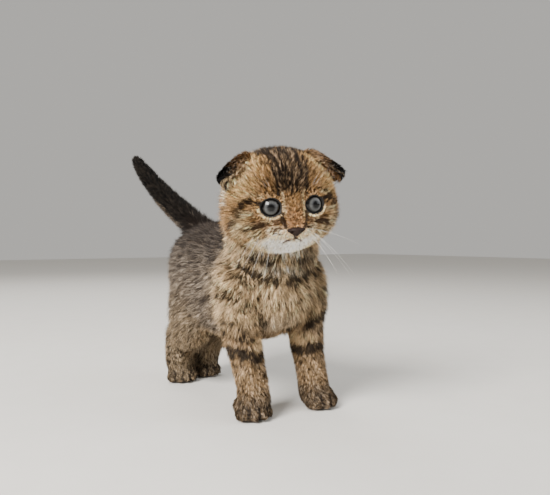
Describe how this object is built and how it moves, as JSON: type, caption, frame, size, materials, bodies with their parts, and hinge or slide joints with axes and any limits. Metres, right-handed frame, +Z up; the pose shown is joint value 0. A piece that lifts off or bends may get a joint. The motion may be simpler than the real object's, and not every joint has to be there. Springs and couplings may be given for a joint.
{
  "type": "scottish fold kitten",
  "caption": "Standing fold-eared tabby kitten, life size, head turned and tail raised, resting on flat soles.",
  "frame": {"origin": "on the floor under the middle of the model's bounding box", "axes": "+Z up; the kitten's body faces -Y, its left side is at +X, and its tail points to +Y"},
  "size_m": [0.0897, 0.2167, 0.1726],
  "materials": {
    "brown_tabby": "short dense fur, brown with dark stripes and a cream chin",
    "grey_tabby": "short dense ticked fur, grey-brown",
    "sandy_legs": "short fur, sandy with dark bars",
    "dark_ear": "very short fur, dark brown with a pale rim",
    "dark_tail": "short fur, nearly black above and ticked grey below",
    "nose_leather": "fine-grained, slightly moist",
    "eye": "wet and glossy, grey-blue iris with a small round pupil"
  },
  "bodies": {
    "root": {"ear_left": "dark_ear", "ear_right": "dark_ear", "eye_left": "eye", "eye_right": "eye", "head": "brown_tabby", "leg_front_left": "sandy_legs", "leg_front_right": "sandy_legs", "leg_hind_left": "sandy_legs", "leg_hind_right": "sandy_legs", "neck": "brown_tabby", "nose": "nose_leather", "paw_front_left": "sandy_legs", "paw_front_right": "sandy_legs", "paw_hind_left": "sandy_legs", "paw_hind_right": "sandy_legs", "tail_end": "dark_tail", "tail_root": "grey_tabby", "torso": "grey_tabby"}
  },
  "joints": []
}
